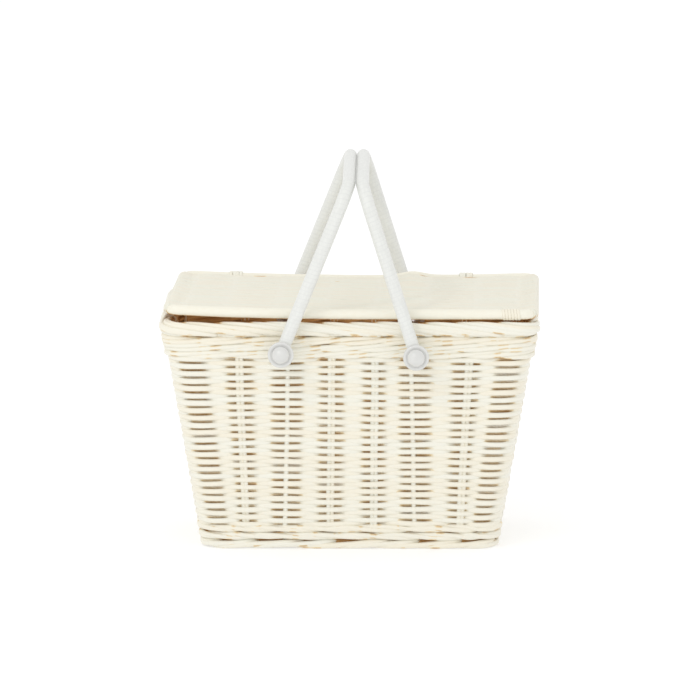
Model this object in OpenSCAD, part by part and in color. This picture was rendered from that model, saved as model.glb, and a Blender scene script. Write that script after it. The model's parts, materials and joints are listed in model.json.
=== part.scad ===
// Woven picnic basket with a flat lid hinged along the back and two swinging bail handles.
// Millimetres, +Z up. The origin is on the floor under the middle of the basket.
// The front faces -Y, and the lid's hinge runs along the back, at +Y.

/* [Basket] */
// Outside length over the rim border
rim_w = 380; // [376:1:392]
// Outside depth over the rim border
rim_d = 245; // [243:1:251]
// Height of the top of the rim border
rim_z = 240; // [236:1:244]
// Outside length at the floor
foot_w = 298; // [290:1:304]
// Outside depth at the floor
foot_d = 170; // [164:1:176]
// Outside length of the side weave where it meets the top wale
wall_w = 365; // [360:1:370]
// Outside depth of the side weave where it meets the top wale
wall_d = 230; // [228:1:234]
// Thickness of the woven wall
wall_t = 10; // [9:0.5:11]
// Plan radius of the basket's corners
corner_r = 26; // [24:1:32]

/* [Weave bands] */
// Height of the foot border
foot_h = 9.6; // [8:0.2:11]
// Height of the top of the bottom wale
low_wale_z = 27.6; // [24:0.2:32]
// Height where the side weave ends and the top wale starts
wall_z = 194; // [190:1:194]
// Height where the top wale ends and the rim border starts
top_wale_z = 224; // [222:1:226]
// Thickness of the top wale
top_wale_t = 12; // [12:0.5:13]
// Thickness of the rim border
rim_t = 16; // [14:0.5:18]

/* [Stakes] */
// Diameter of one stake
stake_dia = 3.8; // [3:0.1:4.2]
// Diameter of a corner post
post_dia = 6; // [5:0.1:6.4]
// Number of sticks in the base
base_sticks_n = 7; // [5:1:9]
// Diameter of a base stick
base_stick_dia = 4.4; // [3.6:0.1:4.6]
// Thickness of the base weave
base_t = 6; // [5.4:0.1:7]

/* [Lid] */
// Outside length of the lid
lid_w = 374; // [370:1:376]
// Outside depth of the lid
lid_d = 236; // [234:1:238]
// Diameter of the rod that frames the lid
lid_rod_dia = 12; // [11:0.1:12.4]
// Thickness of the woven lid panel
lid_t = 9; // [8:0.1:9.4]
// Gap between the closed lid and the rim
lid_gap = 0.3; // [0.3:0.1:1]
// Number of sticks in the lid
lid_sticks_n = 7; // [5:2:7]
// Diameter of a lid stick
lid_stick_dia = 4.6; // [4:0.1:5]
// Distance between the two lid loops
loop_span = 240; // [236:1:246]
// Width of a lid loop
loop_w = 14; // [10:1:16]

/* [Handles] */
// Distance of the left handle's pivots from the middle
left_pivot_x = 68; // [66:0.2:70]
// Distance of the right handle's pivots from the middle
right_pivot_x = 66.6; // [66:0.2:70]
// Height of the left handle's pivots
left_pivot_z = 209.4; // [206.4:0.2:210]
// Height of the right handle's pivots
right_pivot_z = 206.6; // [206.4:0.2:210]
// Height of the middle of both crossbars
bar_z = 377; // [370:0.5:379]
// Place along the basket where the two crossbars meet
bar_meet_x = 6.3; // [0:0.1:8]
// Gap between the two crossbars
bar_gap = 0.8; // [0.6:0.1:2]
// Distance between the middles of a handle's two legs
bail_w = 270; // [270:1:274]
// Radius of the bends in a handle
bail_bend_r = 28; // [22:1:34]
// Diameter of a wrapped handle
wrap_dia = 12.6; // [12.2:0.1:12.8]
// Diameter of the rod inside a handle
core_dia = 9; // [8.4:0.1:9.4]

/* [Pivots] */
// Diameter of the pivot bolt
bolt_dia = 6; // [5:0.5:6]
// Radial clearance of the handle's eye on the bolt
eye_clear = 0.08; // [0.05:0.01:0.1]
// Diameter of the flange washer
flange_dia = 26; // [23:0.5:27]
// Diameter of the domed cap nut
cap_dia = 18.5; // [16:0.5:19]

/* [Hidden] */

$fn = 48;
hull_fn = 32;
skin = 0.01;
over = 1;

CREAM = [0.95, 0.93, 0.87];
CREAM_DARK = [0.90, 0.87, 0.78];
WILLOW = [0.72, 0.55, 0.36];
WHITE = [0.96, 0.96, 0.97];
GREY_WHITE = [0.86, 0.87, 0.88];
STEEL = [0.72, 0.73, 0.75];

// Outer face of the top wale at its lower and upper edge, measured in from the rim.
wale_low_in = 5;
wale_high_in = 1;

// The stakes stand inside the wall, and the weave is packed tight round them.
// A pair is two stakes side by side.
// Each entry of the front and back wall: place at the foot, place at the rim, stakes in the pair.
front_stake_plan = [[-104, -112, 2], [-66, -60, 1], [-20, -17, 2], [24, 26, 2], [66, 61, 1], [110, 122, 2]];
side_stake_plan = [[-42, -50, 2], [0, 0, 2], [42, 50, 2]];
stake_pitch = stake_dia + 0.4;
rod_end_gap = 0.6;
rod_low_z = foot_h + rod_end_gap;
rod_high_z = top_wale_z - rod_end_gap;

base_z = foot_h - base_t;
base_stick_z = base_z + base_t / 2;

lid_rod_r = lid_rod_dia / 2;
lid_z = rim_z + lid_gap + lid_rod_r;
lid_half_w = lid_w / 2 - lid_rod_r;
lid_half_d = lid_d / 2 - lid_rod_r;
lid_bend_r = 12;
lid_stick_pitch = 50;
loop_bore_clear = 0.07;
loop_r = lid_rod_r + 2.7;
loop_strap_t = 2.5;
loop_strap_z = top_wale_z + 2;
loop_slot_clear = 1.8;

leg_y = bail_w / 2;
// From each handle's pivot to its crossbar, seen from the front.
left_arm = [bar_meet_x - (wrap_dia + bar_gap) / 2 + left_pivot_x, bar_z - left_pivot_z];
right_arm = [bar_meet_x + (wrap_dia + bar_gap) / 2 - right_pivot_x, bar_z - right_pivot_z];
bolt_r = bolt_dia / 2;
washer_hole_r = bolt_r + 0.2;
wall_hole_r = bolt_r + 0.25;
side_gap = 0.3;
seat_out_y = rim_d / 2 - 5.1;
seat_in_y = rim_d / 2 - 13.7;
inner_washer_r = 11;
inner_washer_t = 2;
head_r = 8;
head_t = 4;
spacer_r = 7;
spacer_end_y = leg_y - wrap_dia / 2 - side_gap;
flange_y = leg_y + wrap_dia / 2 + side_gap;
flange_t = 3;
flange_edge_r = 1.2;
cap_y = flange_y + flange_t;
cap_h = 7.4;
cap_rim_h = 1.6;
cap_bore_depth = 4.8;
thread_clear = 0.03;
bolt_end_y = cap_y + cap_bore_depth - 0.2;
eye_below = 9;
eye_above = 14;

// Outer half size of the wall at height z, from half its size at the floor and at the top wale.
function wall_half(z, low, high) = low + (high - low) * z / wall_z;

// Half the length and half the depth of the wall at height z.
function wall_size(z) = [wall_half(z, foot_w / 2, wall_w / 2), wall_half(z, foot_d / 2, wall_d / 2)];

// A plan outline with round corners, given by its half sizes.
module plan(half_w, half_d, r) {
    square([2 * half_w, 2 * (half_d - r)], center = true);
    square([2 * (half_w - r), 2 * half_d], center = true);
    for (sx = [-1, 1], sy = [-1, 1])
        translate([sx * (half_w - r), sy * (half_d - r)])
            circle(r = r);
}

// A straight-walled ring of thickness t.
module flat_ring(z0, z1, half_w, half_d, t, r) {
    translate([0, 0, z0])
        linear_extrude(z1 - z0)
            difference() {
                plan(half_w, half_d, r);
                plan(half_w - t, half_d - t, r - t);
            }
}

// A block between two plans, so its walls slope.
module sloped_block(z0, z1, low, high, r) {
    hull() {
        translate([0, 0, z0])
            linear_extrude(skin)
                plan(low[0], low[1], r, $fn = hull_fn);
        translate([0, 0, z1 - skin])
            linear_extrude(skin)
                plan(high[0], high[1], r, $fn = hull_fn);
    }
}

// A sloped ring of thickness t. The inside is cut a little past both ends, along the same slope.
module sloped_ring(z0, z1, low, high, t, r) {
    slope = (high - low) / (z1 - z0);
    inside = [t, t];
    difference() {
        sloped_block(z0, z1, low, high, r);
        sloped_block(z0 - over, z1 + over, low - inside - slope * over,
            high - inside + slope * over, r - t);
    }
}

// A round rod from point a to point b.
module rod(a, b, r) {
    d = b - a;
    translate(a)
        rotate([0, acos(d[2] / norm(d)), atan2(d[1], d[0])])
            cylinder(h = norm(d), r = r);
}

// A rod in the middle of the front wall, between the foot border and the rim border.
// u0 and u1 are its places along the wall at the floor and at the rim.
module wall_rod(u0, u1, low, high, r) {
    function at(z) = [u0 + (u1 - u0) * z / rim_z, wall_t / 2 - wall_half(z, low, high), z];
    rod(at(rod_low_z), at(rod_high_z), r);
}

// One wall's stakes, as the front wall stands.
module stake_row(stakes, low, high) {
    for (s = stakes)
        for (k = [0 : s[2] - 1]) {
            shift = (k - (s[2] - 1) / 2) * stake_pitch;
            wall_rod(s[0] + shift, s[1] + shift * 1.2, low, high, stake_dia / 2);
        }
}

module front_rods() {
    stake_row(front_stake_plan, foot_d / 2, wall_d / 2);
}

module back_rods() {
    mirror([0, 1, 0])
        front_rods();
}

module right_rods() {
    rotate([0, 0, 90])
        stake_row(side_stake_plan, foot_w / 2, wall_w / 2);
}

module left_rods() {
    mirror([1, 0, 0])
        right_rods();
}

// A corner post stands in the middle of the weave's round corner.
module post_rods() {
    inset = corner_r - (corner_r - wall_t / 2) * cos(45);
    function at(z, sx, sy) = [sx * (wall_size(z)[0] - inset), sy * (wall_size(z)[1] - inset), z];
    for (sx = [-1, 1], sy = [-1, 1])
        rod(at(rod_low_z, sx, sy), at(rod_high_z, sx, sy), post_dia / 2);
}

module base_rods() {
    pitch = (foot_d - 2 * wall_t - 14) / (base_sticks_n - 1);
    length = foot_w - 2 * wall_t - 12;
    for (i = [0 : base_sticks_n - 1])
        translate([-length / 2, (i - (base_sticks_n - 1) / 2) * pitch, base_stick_z])
            rotate([0, 90, 0])
                cylinder(h = length, d = base_stick_dia);
}

module base_sticks() {
    color(WILLOW)
        base_rods();
}

module base_weave() {
    color(CREAM_DARK)
        difference() {
            translate([0, 0, base_z])
                linear_extrude(base_t)
                    plan(foot_w / 2 - wall_t, foot_d / 2 - wall_t, corner_r - wall_t);
            base_rods();
        }
}

module foot_border() {
    color(CREAM)
        flat_ring(0, foot_h, foot_w / 2, foot_d / 2, wall_t, corner_r);
}

module bottom_wale() {
    color(CREAM)
        sloped_ring(foot_h, low_wale_z, wall_size(foot_h), wall_size(low_wale_z), wall_t, corner_r);
}

module side_weave() {
    color(CREAM)
        sloped_ring(low_wale_z, wall_z, wall_size(low_wale_z), wall_size(wall_z), wall_t, corner_r);
}

module top_wale() {
    rim = [rim_w / 2, rim_d / 2];
    color(CREAM)
        difference() {
            sloped_ring(wall_z, top_wale_z, rim - [wale_low_in, wale_low_in],
                rim - [wale_high_in, wale_high_in], top_wale_t, corner_r);
            each_pivot()
                pivot_seat();
        }
}

module rim_border() {
    color(CREAM)
        difference() {
            flat_ring(top_wale_z, rim_z, rim_w / 2, rim_d / 2, rim_t, corner_r);
            loop_body(-1);
            loop_body(1);
        }
}

module corner_posts() {
    color(WILLOW)
        post_rods();
}

module front_stakes() {
    color(WILLOW)
        front_rods();
}

module back_stakes() {
    color(WILLOW)
        back_rods();
}

module left_stakes() {
    color(WILLOW)
        left_rods();
}

module right_stakes() {
    color(WILLOW)
        right_rods();
}

// The lid's frame is one round rod bent to a rectangle. Its back side is the hinge pin.
module lid_frame_rod() {
    long = 2 * (lid_half_w - lid_bend_r);
    deep = 2 * (lid_half_d - lid_bend_r);
    translate([0, 0, lid_z]) {
        for (s = [-1, 1]) {
            translate([-long / 2, s * lid_half_d, 0])
                rotate([0, 90, 0])
                    cylinder(h = long, r = lid_rod_r);
            translate([s * lid_half_w, deep / 2, 0])
                rotate([90, 0, 0])
                    cylinder(h = deep, r = lid_rod_r);
        }
        for (k = [0 : 3])
            translate([(k == 0 || k == 3 ? 1 : -1) * long / 2, (k < 2 ? 1 : -1) * deep / 2, 0])
                rotate([0, 0, 90 * k])
                    rotate_extrude(angle = 90)
                        translate([lid_bend_r, 0])
                            circle(r = lid_rod_r);
    }
}

module lid_rods() {
    for (i = [0 : lid_sticks_n - 1])
        translate([(i - (lid_sticks_n - 1) / 2) * lid_stick_pitch, lid_half_d, lid_z])
            rotate([90, 0, 0])
                cylinder(h = 2 * lid_half_d, d = lid_stick_dia);
}

module lid_frame() {
    color(CREAM)
        lid_frame_rod();
}

module lid_sticks() {
    color(WILLOW)
        difference() {
            lid_rods();
            lid_frame_rod();
        }
}

module lid_weave() {
    slot_r = loop_r + loop_slot_clear;
    slot_w = loop_w + 2 * loop_slot_clear;
    color(CREAM_DARK)
        difference() {
            translate([0, 0, lid_z - lid_t / 2])
                linear_extrude(lid_t)
                    plan(lid_half_w, lid_half_d, lid_bend_r);
            lid_frame_rod();
            lid_rods();
            for (s = [-1, 1])
                translate([s * loop_span / 2 - slot_w / 2, lid_half_d, lid_z])
                    rotate([0, 90, 0])
                        cylinder(h = slot_w, r = slot_r);
        }
}

// A lid loop is an eye round the lid's back rod, with a strap down the back of the rim.
module loop_body(s) {
    strap_y = rim_d / 2;
    translate([s * loop_span / 2 - loop_w / 2, 0, 0]) {
        translate([0, lid_half_d, lid_z])
            rotate([0, 90, 0])
                cylinder(h = loop_w, r = loop_r);
        translate([0, lid_half_d, rim_z])
            cube([loop_w, strap_y + loop_strap_t - lid_half_d, lid_z - rim_z]);
        translate([0, strap_y, loop_strap_z])
            cube([loop_w, loop_strap_t, lid_z - loop_strap_z]);
        translate([0, strap_y - rim_t / 2, loop_strap_z])
            cube([loop_w, rim_t / 2 + loop_strap_t, loop_strap_t]);
    }
}

module lid_loop(s) {
    color(WILLOW)
        difference() {
            loop_body(s);
            translate([s * loop_span / 2 - loop_w / 2 - over, lid_half_d, lid_z])
                rotate([0, 90, 0])
                    cylinder(h = loop_w + 2 * over, r = lid_rod_r + loop_bore_clear);
        }
}

module left_lid_loop() {
    lid_loop(-1);
}

module right_lid_loop() {
    lid_loop(1);
}

// A handle's bent rod of radius r, standing upright over the pivot axis, which is the Y axis here.
// bail_h is the height of its crossbar, and start the height of its two ends.
module bail_rod(bail_h, r, start) {
    bend_z = bail_h - bail_bend_r;
    bar = 2 * (leg_y - bail_bend_r);
    for (s = [-1, 1]) {
        translate([0, s * leg_y, start])
            cylinder(h = bend_z - start, r = r);
        translate([0, s * (leg_y - bail_bend_r), bend_z])
            rotate([90, 0, 90])
                rotate([0, 0, s > 0 ? 0 : 90])
                    rotate_extrude(angle = 90)
                        translate([bail_bend_r, 0])
                            circle(r = r);
    }
    translate([0, bar / 2, bail_h])
        rotate([90, 0, 0])
            cylinder(h = bar, r = r);
}

// The rod inside a handle, with a thicker eye at each end for the pivot bolt.
module handle_core(bail_h) {
    difference() {
        union() {
            bail_rod(bail_h, core_dia / 2, eye_above - over);
            for (s = [-1, 1])
                translate([0, s * leg_y, -eye_below])
                    cylinder(h = eye_above + eye_below, d = wrap_dia);
        }
        rotate([90, 0, 0])
            cylinder(h = bail_w + 2 * wrap_dia, r = bolt_r + eye_clear, center = true);
    }
}

module handle_wrap(bail_h) {
    difference() {
        bail_rod(bail_h, wrap_dia / 2, eye_above);
        bail_rod(bail_h, core_dia / 2, eye_above - over);
    }
}

// Moves to a handle's pivot axis. Side -1 is the left handle.
module at_axis(side) {
    translate(side < 0 ? [-left_pivot_x, 0, left_pivot_z] : [right_pivot_x, 0, right_pivot_z])
        children();
}

// Places a handle on its pivots, leaning so that its crossbar lies at the end of arm.
module on_pivots(side, arm) {
    at_axis(side)
        rotate([0, atan2(arm[0], arm[1]), 0])
            children();
}

module left_handle_core() {
    color(WHITE)
        on_pivots(-1, left_arm)
            handle_core(norm(left_arm));
}

module left_handle_wrap() {
    color(WHITE)
        on_pivots(-1, left_arm)
            handle_wrap(norm(left_arm));
}

module right_handle_core() {
    color(WHITE)
        on_pivots(1, right_arm)
            handle_core(norm(right_arm));
}

module right_handle_wrap() {
    color(WHITE)
        on_pivots(1, right_arm)
            handle_wrap(norm(right_arm));
}

// Places a pivot piece that is drawn along +Z, with z as its distance out from the basket's middle.
module at_pivot(sx, sy) {
    at_axis(sx)
        rotate([-sy * 90, 0, 0])
            children();
}

module each_pivot() {
    for (sx = [-1, 1], sy = [-1, 1])
        at_pivot(sx, sy)
            children();
}

// What a pivot takes out of the top wale: the bolt hole and a flat seat on each face.
module pivot_seat() {
    translate([0, 0, seat_in_y - over])
        cylinder(h = seat_out_y - seat_in_y + 2 * over, r = wall_hole_r);
    translate([0, 0, seat_out_y])
        cylinder(h = wrap_dia, r = spacer_r + 0.2);
    translate([0, 0, seat_in_y - wrap_dia])
        cylinder(h = wrap_dia, r = inner_washer_r + 0.2);
}

module bolt() {
    head_z = seat_in_y - inner_washer_t;
    color(STEEL)
        union() {
            translate([0, 0, head_z - head_t])
                rotate_extrude()
                    intersection() {
                        translate([0, head_r])
                            circle(r = head_r);
                        square([head_r, head_t]);
                    }
            translate([0, 0, head_z - over])
                cylinder(h = bolt_end_y - head_z + over, r = bolt_r);
        }
}

module inner_washer() {
    color(STEEL)
        translate([0, 0, seat_in_y - inner_washer_t])
            difference() {
                cylinder(h = inner_washer_t, r = inner_washer_r);
                translate([0, 0, -over])
                    cylinder(h = inner_washer_t + 2 * over, r = washer_hole_r);
            }
}

module spacer() {
    color(WHITE)
        translate([0, 0, seat_out_y])
            difference() {
                cylinder(h = spacer_end_y - seat_out_y, r = spacer_r);
                translate([0, 0, -over])
                    cylinder(h = spacer_end_y - seat_out_y + 2 * over, r = washer_hole_r);
            }
}

// A disc whose outer edge is rounded towards the viewer.
module flange_washer() {
    flange_r = flange_dia / 2;
    color(GREY_WHITE)
        translate([0, 0, flange_y])
            rotate_extrude() {
                translate([washer_hole_r, 0])
                    square([flange_r - washer_hole_r, flange_t - flange_edge_r]);
                translate([washer_hole_r, 0])
                    square([flange_r - flange_edge_r - washer_hole_r, flange_t]);
                translate([flange_r - flange_edge_r, flange_t - flange_edge_r])
                    circle(r = flange_edge_r);
            }
}

// A low dome, a part of a ball over a short straight rim, with a blind threaded bore.
module cap_nut() {
    cap_r = cap_dia / 2;
    rise = cap_h - cap_rim_h;
    ball_r = (cap_r * cap_r + rise * rise) / (2 * rise);
    color(GREY_WHITE)
        translate([0, 0, cap_y])
            difference() {
                rotate_extrude()
                    union() {
                        square([cap_r, cap_rim_h]);
                        intersection() {
                            translate([0, cap_h - ball_r])
                                circle(r = ball_r);
                            square([cap_r, cap_h]);
                        }
                    }
                translate([0, 0, -over])
                    cylinder(h = cap_bore_depth + over, r = bolt_r + thread_clear);
            }
}

module pivot_piece(kind) {
    if (kind == "bolt")
        bolt();
    if (kind == "inner_washer")
        inner_washer();
    if (kind == "spacer")
        spacer();
    if (kind == "flange_washer")
        flange_washer();
    if (kind == "cap_nut")
        cap_nut();
}

base_sticks();
base_weave();
foot_border();
bottom_wale();
side_weave();
top_wale();
rim_border();
corner_posts();
front_stakes();
back_stakes();
left_stakes();
right_stakes();
lid_frame();
lid_sticks();
lid_weave();
left_lid_loop();
right_lid_loop();
left_handle_core();
left_handle_wrap();
right_handle_core();
right_handle_wrap();
for (y_side = ["front", "back"], x_side = ["left", "right"],
        kind = ["bolt", "inner_washer", "spacer", "flange_washer", "cap_nut"])
    at_pivot(x_side == "left" ? -1 : 1, y_side == "front" ? -1 : 1)
            pivot_piece(kind);
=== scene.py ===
import json
import math

import bmesh
import bpy
import numpy as np
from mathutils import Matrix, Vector


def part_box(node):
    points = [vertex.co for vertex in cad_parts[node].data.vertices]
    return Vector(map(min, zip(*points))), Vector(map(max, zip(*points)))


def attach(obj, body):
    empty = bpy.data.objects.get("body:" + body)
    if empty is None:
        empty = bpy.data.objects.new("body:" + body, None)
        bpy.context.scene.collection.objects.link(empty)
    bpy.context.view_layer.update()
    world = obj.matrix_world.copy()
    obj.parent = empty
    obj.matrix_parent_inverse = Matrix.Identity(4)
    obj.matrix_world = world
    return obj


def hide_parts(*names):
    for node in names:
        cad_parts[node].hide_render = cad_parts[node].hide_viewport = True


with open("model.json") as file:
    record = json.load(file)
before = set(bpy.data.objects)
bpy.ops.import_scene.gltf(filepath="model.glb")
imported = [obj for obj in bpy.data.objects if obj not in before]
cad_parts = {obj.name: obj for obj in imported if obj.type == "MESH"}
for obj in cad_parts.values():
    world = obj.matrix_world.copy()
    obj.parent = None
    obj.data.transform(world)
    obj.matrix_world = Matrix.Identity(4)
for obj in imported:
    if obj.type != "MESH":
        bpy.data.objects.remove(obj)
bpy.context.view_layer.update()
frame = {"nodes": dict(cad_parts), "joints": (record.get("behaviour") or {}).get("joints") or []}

# Woven picnic basket: cream-painted willow, a woven lid and two wrapped bail handles on domed pivots.
# The front faces -Y. Lengths are in metres, and MM turns millimetres into metres.
MM = 0.001

# Plan radius of the wall's corners, and the height where the side weave gives way to the top wale.
CORNER_R = 26 * MM
WALE_Z = 202 * MM

# How far the woven end walls and the rim stand outside the CAD's, which are slightly too narrow.
FOOT_WIDER = 3.2 * MM
WALL_TAPER = 0.005
RIM_WIDER = 1 * MM


# ---------------------------------------------------------------- shapes in plan

class Ring:
    """A round-cornered rectangle seen from above.

    It runs from the middle of the back by the left side to the front, and back by the right side.
    """

    def __init__(self, half_w, half_d, radius):
        points, normals = [(0, half_d)], [(0, 1)]
        for sx, sy, start in ((-1, 1, 90), (-1, -1, 180), (1, -1, 270), (1, 1, 360)):
            for angle in np.radians(np.arange(start, start + 91, 3)):
                normal = (math.cos(angle), math.sin(angle))
                x = sx * (half_w - radius) + radius * normal[0]
                y = sy * (half_d - radius) + radius * normal[1]
                points.append((x, y))
                normals.append(normal)
        self.points = np.array(points + points[:1])
        self.normals = np.array(normals + normals[:1])
        steps = np.linalg.norm(np.diff(self.points, axis=0), axis=1)
        self.places = np.concatenate([[0], np.cumsum(steps)])
        self.length = self.places[-1]

    def at(self, places):
        """Points and outward normals at these distances, with a zero height."""
        places = np.mod(places, self.length)
        x, y, nx, ny = [np.interp(places, self.places, c) for c in (*self.points.T, *self.normals.T)]
        point = np.stack([x, y, 0 * x], axis=-1)
        normal = np.stack([nx, ny, 0 * x], axis=-1)
        return point, normal / np.linalg.norm(normal, axis=-1, keepdims=True)

    def nearest(self, spot):
        """The distance along the ring that lies closest to a point."""
        places = np.linspace(0, self.length, 1600, endpoint=False)
        points, _ = self.at(places)
        return places[np.argmin(np.linalg.norm(points[:, :2] - np.array(spot)[:2], axis=1))]


def wider(z):
    """How far the woven end walls stand outside the CAD's at height z."""
    return FOOT_WIDER - WALL_TAPER * z


def wall_ring(z, inset):
    """The woven wall's plan at height z, this far inside its outer face."""
    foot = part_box("foot_border")[1]
    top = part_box("side_weave")[1]
    share = z / top.z
    half_w = foot.x + (top.x - foot.x) * share + wider(z)
    half_d = foot.y + (top.y - foot.y) * share
    return Ring(half_w - inset, half_d - inset, CORNER_R - inset)


def rim_ring(inset):
    """The rim border's plan, this far inside its outer face."""
    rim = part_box("rim_border")[1]
    return Ring(rim.x + RIM_WIDER - inset, rim.y - inset, CORNER_R - inset)


def smooth_step(low, high, value):
    share = np.clip((value - low) / (high - low), 0, 1)
    return share * share * (3 - 2 * share)


def wave(rng, share, cycles):
    """A smooth random wave between about -1 and 1. Whole cycles close on themselves at share 1."""
    parts = [np.sin(2 * np.pi * (share * c + rng.random())) for c in cycles]
    return sum(parts) * 1.4 / len(cycles)


def soften(values, times):
    """Rounds the kinks of an open line and keeps its ends."""
    values = np.array(values, float)
    for _ in range(times):
        values[1:-1] = (values[:-2] + 2 * values[1:-1] + values[2:]) / 4
    return values


def fine(points, parts):
    """A line through the same points with more of them."""
    wanted = np.linspace(0, len(points) - 1, (len(points) - 1) * parts + 1)
    return np.stack([np.interp(wanted, np.arange(len(points)), c) for c in points.T], axis=1)


# ---------------------------------------------------------------- swept rods

# The share of its thickness that an open rod keeps at its two ends.
END_TAPER = 0.6


class Strands:
    """Gathers swept rods into one mesh. Vertices keep their paint, shade and place in the grain."""

    def __init__(self, seed):
        self.rng = np.random.default_rng(seed)
        self.points, self.faces, self.paint, self.shade, self.grain = [], [], [], [], []
        self.count = 0

    def rod(self, path, outward, r_out, r_up=None, sides=12, closed=False, paint=1.0):
        """Sweeps a rod along path. outward says which way angle 0 of its section faces.

        paint is a number or an array, or a function of how far each vertex faces outward and upward.
        """
        path = np.array(path, float)
        number = len(path)
        r_up = r_out if r_up is None else r_up
        ahead = np.roll(path, -1, axis=0) - np.roll(path, 1, axis=0)
        if not closed:
            ahead[0] = path[1] - path[0]
            ahead[-1] = path[-1] - path[-2]
        ahead /= np.linalg.norm(ahead, axis=1, keepdims=True)
        outward = np.broadcast_to(outward, path.shape)
        out = outward - ahead * np.sum(outward * ahead, axis=1, keepdims=True)
        out /= np.linalg.norm(out, axis=1, keepdims=True)
        up = np.cross(ahead, out)
        size_out = np.broadcast_to(r_out, number).astype(float).copy()
        size_up = np.broadcast_to(r_up, number).astype(float).copy()
        if not closed:
            for size in (size_out, size_up):
                size[[0, -1]] *= END_TAPER
        turn = np.arange(sides) * 2 * np.pi / sides
        across = size_out[:, None] * np.cos(turn)
        along = size_up[:, None] * np.sin(turn)
        points = path[:, None] + out[:, None] * across[..., None] + up[:, None] * along[..., None]
        if callable(paint):
            rising = out[:, None, 2] * np.cos(turn) + up[:, None, 2] * np.sin(turn)
            paint = paint(np.cos(turn)[None], rising)
        self._faces(number, sides, closed)
        run = np.concatenate([[0], np.cumsum(np.linalg.norm(np.diff(path, axis=0), axis=1))])
        run = np.broadcast_to(run[:, None] / MM + self.rng.random() * 900, across.shape)
        self.points.append(points.reshape(-1, 3))
        self.grain.append(np.stack([run, across / MM, along / MM], axis=-1).reshape(-1, 3))
        self.paint.append(np.broadcast_to(paint, across.shape).reshape(-1))
        self.shade.append(np.full(across.size, self.rng.random()))
        self.count += number * sides

    def _faces(self, number, sides, closed):
        spot = np.arange(sides)
        ring = np.arange(number if closed else number - 1)[:, None]
        after = (ring + 1) % number
        corners = (ring * sides + spot, ring * sides + (spot + 1) % sides,
                   after * sides + (spot + 1) % sides, after * sides + spot)
        quads = np.stack(corners, axis=-1).reshape(-1, 4) + self.count
        self.faces += quads.tolist()
        if not closed:
            self.faces.append((self.count + spot[::-1]).tolist())
            self.faces.append((self.count + (number - 1) * sides + spot).tolist())

    def piece(self, name, material, body, slot, nodes, change=None):
        """Makes the mesh, gives it its body, and hides the CAD nodes that it stands for."""
        points = np.concatenate(self.points)
        if change is not None:
            points = change(points)
        mesh = bpy.data.meshes.new(name)
        mesh.from_pydata(points.tolist(), [], self.faces)
        mesh.polygons.foreach_set("use_smooth", [True] * len(mesh.polygons))
        for key, kind, field, values in (("paint", "FLOAT", "value", self.paint),
                                         ("shade", "FLOAT", "value", self.shade),
                                         ("grain", "FLOAT_VECTOR", "vector", self.grain)):
            data = mesh.attributes.new(key, kind, "POINT").data
            data.foreach_set(field, np.concatenate(values).astype(np.float32).ravel())
        return finish_piece(name, mesh, material, body, nodes)


def finish_piece(name, mesh, material, body, nodes):
    mesh.materials.append(material)
    mesh.validate()
    piece = bpy.data.objects.new(name, mesh)
    bpy.context.scene.collection.objects.link(piece)
    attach(piece, body)
    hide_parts(*nodes)
    return piece


# ---------------------------------------------------------------- materials

def rgb(red, green, blue):
    """A screen colour from 0 to 255 as the linear colour that shaders use."""
    values = [v / 255 for v in (red, green, blue)]
    linear = [v / 12.92 if v <= 0.04045 else ((v + 0.055) / 1.055) ** 2.4 for v in values]
    return tuple(linear) + (1,)


def scaled(colour, factor):
    """A lighter or darker version of a linear colour."""
    return tuple(factor * c for c in colour[:3]) + (1,)


class Surface:
    """A material and short ways to add its nodes."""

    def __init__(self, name, roughness, specular=0.5):
        self.material = bpy.data.materials.new(name)
        self.material.use_nodes = True
        self.tree = self.material.node_tree
        self.shader = self.tree.nodes["Principled BSDF"]
        self.shader.inputs["Roughness"].default_value = roughness
        self.shader.inputs["Specular IOR Level"].default_value = specular

    def add(self, kind, settings=(), **inputs):
        """Adds a node. An input is a value, or another node's output to link."""
        node = self.tree.nodes.new("ShaderNode" + kind)
        for key, value in settings:
            setattr(node, key, value)
        for key, value in inputs.items():
            self.feed(node.inputs[int(key[2:]) if key.startswith("in") else key], value)
        return node

    def feed(self, socket, value):
        if isinstance(value, bpy.types.NodeSocket):
            self.tree.links.new(value, socket)
        else:
            socket.default_value = value

    def attribute(self, name, output):
        return self.add("Attribute", [("attribute_name", name)]).outputs[output]

    def noise(self, vector, scale, detail=3.0, roughness=0.5):
        node = self.add("TexNoise", Vector=vector, Scale=scale, Detail=detail, Roughness=roughness)
        return node.outputs["Fac"]

    def stretch(self, vector, factors):
        return self.add("VectorMath", [("operation", "MULTIPLY")], in0=vector, in1=factors).outputs[0]

    def math(self, operation, first, second, third=0.0):
        node = self.add("Math", [("operation", operation)], in0=first, in1=second, in2=third)
        return node.outputs[0]

    def spread(self, value, low, high, new_low, new_high):
        """Maps low..high to new_low..new_high, smoothly and clamped."""
        smooth = [("interpolation_type", "SMOOTHSTEP")]
        node = self.add("MapRange", smooth, in0=value, in1=low, in2=high, in3=new_low, in4=new_high)
        return node.outputs[0]

    def ramp(self, value, stops):
        node = self.add("ValToRGB", Fac=value)
        row = node.color_ramp.elements
        while len(row) < len(stops):
            row.new(0.5)
        for element, (place, colour) in zip(row, stops):
            element.position = place
            element.color = colour
        return node.outputs["Color"]

    def blend(self, share, first, second):
        node = self.add("Mix", [("data_type", "RGBA")])
        self.feed(node.inputs["Factor"], share)
        self.feed(node.inputs[6], first)
        self.feed(node.inputs[7], second)
        return node.outputs[2]

    def bump(self, height, strength, distance):
        node = self.add("Bump", Height=height, Strength=strength, Distance=distance)
        self.feed(self.shader.inputs["Normal"], node.outputs["Normal"])

    def colour(self, value):
        self.feed(self.shader.inputs["Base Color"], value)

    def roughness(self, value):
        self.feed(self.shader.inputs["Roughness"], value)


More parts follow.
